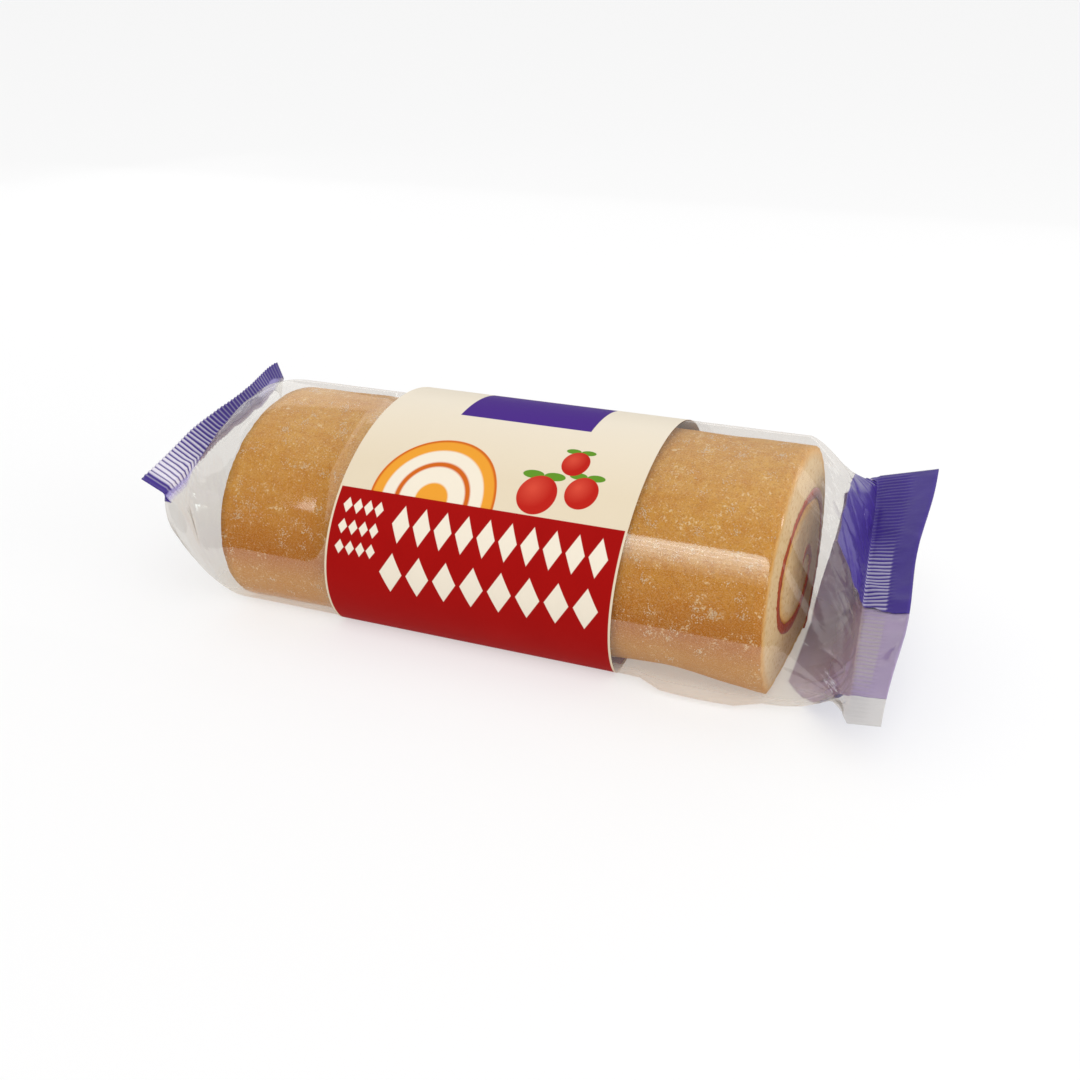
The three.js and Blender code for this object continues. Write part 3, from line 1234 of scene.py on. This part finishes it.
def spiral_solid(first, last, shares, length_rows, section_at, half_length):
    """A spiral section extruded along the roll. Both its numbers are kept for each vertex."""
    bm = bmesh.new()
    steps = round((last - first) / TURN_STEP)
    layers = len(shares) - 1
    bmesh.ops.create_grid(bm, x_segments=steps, y_segments=layers, size=0.5)
    turn_layer = bm.verts.layers.float.new("turn")
    share_layer = bm.verts.layers.float.new("share")
    for vert in bm.verts:
        vert[turn_layer] = mix(first, last, round((vert.co.x + 0.5) * steps) / steps)
        vert[share_layer] = shares[round((vert.co.y + 0.5) * layers)]
        vert.co.z = -half_length
    region = list(bm.faces) + list(bm.edges)
    for _ in range(length_rows):
        region = bmesh.ops.extrude_face_region(bm, geom=region)["geom"]
        verts = [item for item in region if isinstance(item, bmesh.types.BMVert)]
        bmesh.ops.translate(bm, verts=verts, vec=(0, 0, 2 * half_length / length_rows))
    for vert in bm.verts:
        vert.co = section_at(vert[turn_layer], vert[share_layer], vert.co.z)
    return bm


def torn(section, side, depth):
    """How far the knife has torn a cut end in or out: coarse and fine crumb, and a round outer edge."""
    crumb = 0.55 * uneven(section.x * 0.45, section.y * 0.45, side * 9.0)
    crumb += 0.35 * uneven(section.x * 1.3, section.y * 1.3, side * 5.0)
    return min(0.0, crumb) - 0.5 * (1 - smooth(0.0, 1.6, depth))


def sponge():
    half = ROLL_LENGTH / 2
    depths = {}  # by the two numbers that each vertex keeps

    def section_at(degrees, share, x):
        section, depth = sheet_point(degrees, share)
        point = in_roll(x, section)
        if abs(x) > half - 0.01:
            side = 1 if x > 0 else -1
            point.x += side * torn(section, side, depth)
        depths[(round(degrees, 3), round(share, 4))] = depth
        return point

    bm = spiral_solid(SPIRAL_START, SHEET_STOP, SPONGE_LAYERS, SPONGE_ROWS, section_at, half)
    depth_layer = bm.verts.layers.float.new("depth")
    turn_layer = bm.verts.layers.float["turn"]
    share_layer = bm.verts.layers.float["share"]
    for vert in bm.verts:
        vert[depth_layer] = depths[(round(vert[turn_layer], 3), round(vert[share_layer], 4))]
    bmesh.ops.remove_doubles(bm, verts=bm.verts, dist=ROLL_WELD)
    bmesh.ops.recalc_face_normals(bm, faces=bm.faces)
    return finish_piece("sponge_sheet", bm, [sponge_finish()])


# %% [markdown]
# ## The sponge's finish
#
# The skin is baked golden brown and dusted with fine sugar. Under it the crumb is pale cream with tiny
# holes. One finish holds both, mixed by the depth under the skin, so the thin brown line round the cut
# ends comes by itself.


# %% Skin
def baked_skin(finish, place):
    """Golden brown in blotches, with painted light by height: lighter towards the top, painted shade
    halfway down and a painted reflection of the pale floor near the bottom.
    """
    _, _, height = finish.split(place)
    blotches = finish.cloud(place, 22.0, 4.0, 0.55)
    # painted light: lighter towards the top, mixed with the skin's own blotches
    lit_top_and_blotches = (height.above(42.0, 44.0) * 0.8 + (blotches - 0.5) * 0.9).most(0.0).least(1.0)
    baked = finish.blend(lit_top_and_blotches, colour(196, 120, 24), colour(226, 174, 86))
    mottle = finish.cloud(place, 3.0, 4.0, 0.65)
    baked = finish.blend(mottle.above(0.56, 0.3) * 0.5, baked, colour(192, 116, 34))
    grain = finish.cloud(place, 0.55, 2.0, 0.6)
    baked = finish.blend(grain.below(0.42, 0.12) * 0.35, baked, colour(164, 92, 20))
    # painted shade: deeper orange brown halfway down the roll
    baked = finish.blend(height.within(22.0, 32.0, 14.0) * 0.5, baked, colour(174, 94, 6))
    # painted reflection of the pale floor: lighter near the bottom
    return finish.blend(height.below(20.0, 8.0) * 0.5, baked, colour(216, 156, 50))


def sugared(finish, place, baked):
    """The skin with its dust of sugar, which is thicker towards the top and gathers in clumps."""
    _, _, height = finish.split(place)
    patches = finish.cloud(place, 13.0, 4.0, 0.7)
    thick = patches.above(0.55, 0.2) + height.above(36.0, 40.0) * 0.5
    specks = finish.cloud(place, 0.42, 2.0, 0.6)
    fine = (specks - 0.56 + thick * 0.05).above(0.0, 0.16)
    baked = finish.blend(fine * 0.2, baked, colour(246, 218, 160))
    clumps = finish.cloud(place, 5.5, 2.0, 0.5).above(0.58, 0.12)
    clumps = clumps * finish.cloud(place, 1.9, 2.0, 0.6).above(0.5, 0.2)
    powder = finish.cloud(place, 0.7, 2.0, 0.7)
    dust = (powder - 0.71 + thick * 0.05 + clumps * 0.13).above(0.0, 0.12)
    return finish.blend(dust * 0.7, baked, colour(250, 230, 190))


# %% Crumb
def crumb_tone(finish, place, depth, holes):
    """Pale cream with painted shade in its holes, and browner just under the skin."""
    grain = finish.cloud(place, 1.6, 3.0, 0.6)
    crumb = finish.blend(grain, colour(226, 190, 136), colour(246, 222, 178))
    # painted shade in the holes of the crumb
    crumb = finish.blend(holes.below(0.28, 0.2) * 0.45, crumb, colour(204, 152, 92))
    return finish.blend(depth.below(3.0, 3.6) * 0.75, crumb, colour(228, 168, 78))


def sponge_finish():
    finish = Finish("sponge")
    place = finish.place()
    depth = finish.attribute("depth")
    holes = finish.add("ShaderNodeTexVoronoi", {"Vector": place, "Scale": 0.55})
    skin = sugared(finish, place, baked_skin(finish, place))
    on_skin = 1 - depth.above(1.1, 0.9)
    tint = finish.blend(on_skin, crumb_tone(finish, place, depth, holes), skin)
    grain = finish.cloud(place, 1.4, 4.0, 0.6) * 0.6 + holes.above(0.25, 0.3) * 0.4
    relief = finish.bump(grain, 0.35)
    sockets = {"Base Color": tint, "Roughness": 0.85, "Specular IOR Level": 0.08, "Normal": relief}
    return finish.done(finish.surface(sockets))


sponge()

# %% [markdown]
# ## The jam
#
# The jam is a thin layer between the turns of sponge, from one end of the roll to the other. It is the
# same kind of extruded spiral, and stands a hair proud of the cut ends, where the knife has smeared it.

# %% Jam
JAM_PROUD = 0.12  # how much longer the jam is than the roll, at each end
JAM_ROWS = 30
JAM_LAYERS = (0.0, 0.25, 0.5, 0.75, 1.0)
JAM_INSET = 4.0  # degrees of the spiral that stay bare at either end of the jam


def jam_finish():
    finish = Finish("jam")
    place = finish.place()
    tone = finish.blend(finish.cloud(place, 2.2, 3.0, 0.6), colour(158, 46, 10), colour(192, 84, 30))
    relief = finish.bump(finish.cloud(place, 1.1, 3.0, 0.6), 0.3)
    sockets = {"Base Color": tone, "Roughness": 0.35, "Normal": relief}
    return finish.done(finish.surface(sockets))


def jam():
    half = ROLL_LENGTH / 2 + JAM_PROUD

    def section_at(degrees, share, x):
        section = beside_jam(degrees, -1.0).lerp(beside_jam(degrees, 1.0), share)
        point = in_roll(x, section)
        if abs(x) > half - 0.01:
            side = 1 if x > 0 else -1
            domed = 1 - (2 * share - 1) ** 2
            smeared = 1 + uneven(section.x * 0.5, section.y * 0.5)
            point.x += side * (0.25 * domed * smeared - 0.1)
        return point

    first, last = SPIRAL_START + JAM_INSET, JAM_STOP - JAM_INSET
    bm = spiral_solid(first, last, JAM_LAYERS, JAM_ROWS, section_at, half)
    bmesh.ops.remove_doubles(bm, verts=bm.verts, dist=ROLL_WELD)
    bmesh.ops.recalc_face_normals(bm, faces=bm.faces)
    return finish_piece("jam_layer", bm, [jam_finish()])


jam()

# %% [markdown]
# ## The sugar
#
# Sugar crystals cling to the skin in loose patches and small clumps. Each is a tiny block, far too
# small to need more than six faces. Copying one block with arrays of random places, turns and sizes
# makes thousands of them in a moment, and a fixed seed gives the same ones every time.

# %% Where the sugar lies
SUGAR_TRIES = 26000
CLUMP_COUNT = 210
CLUMPED = 0.22  # the share of the tries that land in a clump
# The part of the roll that the band hides from every side, which stays bare.
UNDER_BAND = (BAND_EDGES["left"]["middle"] + 9, BAND_EDGES["right"]["middle"] - 6)
random_source = random.Random(41)


def clump():
    """A clump's place along the roll, and its place round it in degrees."""
    return random_source.uniform(-90, 90), random_source.triangular(20, 220, 125)


CLUMPS = [clump() for _ in range(CLUMP_COUNT)]


def skin_at(x, degrees):
    """A point of the roll's skin, and the direction out of it."""
    point = in_roll(x, roll_outline(degrees))
    beside = in_roll(x, roll_outline(degrees + 1)) - point
    normal = Vector((0, -beside.z, beside.y)).normalized()
    middle = Vector((point.x, 0, ROLL_RADIUS["right"] - ROLL_SAG))
    return point, -normal if normal.dot(point - middle) < 0 else normal


def sugar_spot():
    """A random spot on the roll's skin, or nothing where the sugar is thin or the band hides it."""
    x = random_source.uniform(-0.5, 0.5) * (ROLL_LENGTH - 1)
    degrees = random_source.uniform(-50, 230)
    luck = random_source.random()
    if luck < CLUMPED:
        middle, spread = random_source.choice(CLUMPS), random_source.uniform(0.4, 1.7)
        x = middle[0] + random_source.gauss(0, spread)
        degrees = middle[1] + random_source.gauss(0, spread) / 0.7
        luck = 0.0 if abs(x) < ROLL_LENGTH / 2 - 0.5 else 1.0
    if UNDER_BAND[0] < x < UNDER_BAND[1]:
        return None
    patch = 0.5 + 0.5 * uneven(x * 0.06, degrees * 0.035, 1.0)
    patch += 0.4 * uneven(x * 0.25, degrees * 0.15, 4.0)
    likely = smooth(0.45, 1.0, patch)
    return None if luck > 0.04 + 0.96 * likely * likely else skin_at(x, degrees)


# %% Sugar
def sugar_finish():
    finish = Finish("sugar")
    tone = finish.blend(finish.cloud(finish.place(), 0.5), colour(214, 178, 124), colour(246, 230, 202))
    return finish.done(finish.surface({"Base Color": tone, "Roughness": 0.45}))


def crystal(corners, point, normal):
    """The block's corners, turned to lie on the skin at a random size, turn and tilt."""
    size = random_source.uniform(0.12, 0.32) * Vector((1, 1, 1))
    size.z *= 0.6
    lying = normal.to_track_quat("Z", "Y").to_matrix()
    turn = Matrix.Rotation(random_source.uniform(0, 3), 3, "Z")
    tilt = Matrix.Rotation(random_source.uniform(-0.4, 0.4), 3, "X")
    matrix = np.array(lying @ turn @ tilt @ Matrix.Diagonal(size))
    return corners @ matrix.T + np.array(point + normal * 0.05)


def sugar():
    block = bmesh.new()
    bmesh.ops.create_cube(block, size=1.0)
    corners = np.array([vert.co for vert in block.verts])
    faces = np.array([[vert.index for vert in face.verts] for face in block.faces])
    block.free()
    all_corners, all_faces = [], []
    for _ in range(SUGAR_TRIES):
        spot = sugar_spot()
        if spot is not None:
            all_faces.append(faces + len(corners) * len(all_corners))
            all_corners.append(crystal(corners, *spot))
    mesh = bpy.data.meshes.new("sugar_crystals")
    mesh.from_pydata(np.concatenate(all_corners).tolist(), [], np.concatenate(all_faces).tolist())
    bm = bmesh.new()
    bm.from_mesh(mesh)
    bpy.data.meshes.remove(mesh)
    return finish_piece("sugar_crystals", bm, [sugar_finish()], shade_smooth=False)


sugar()
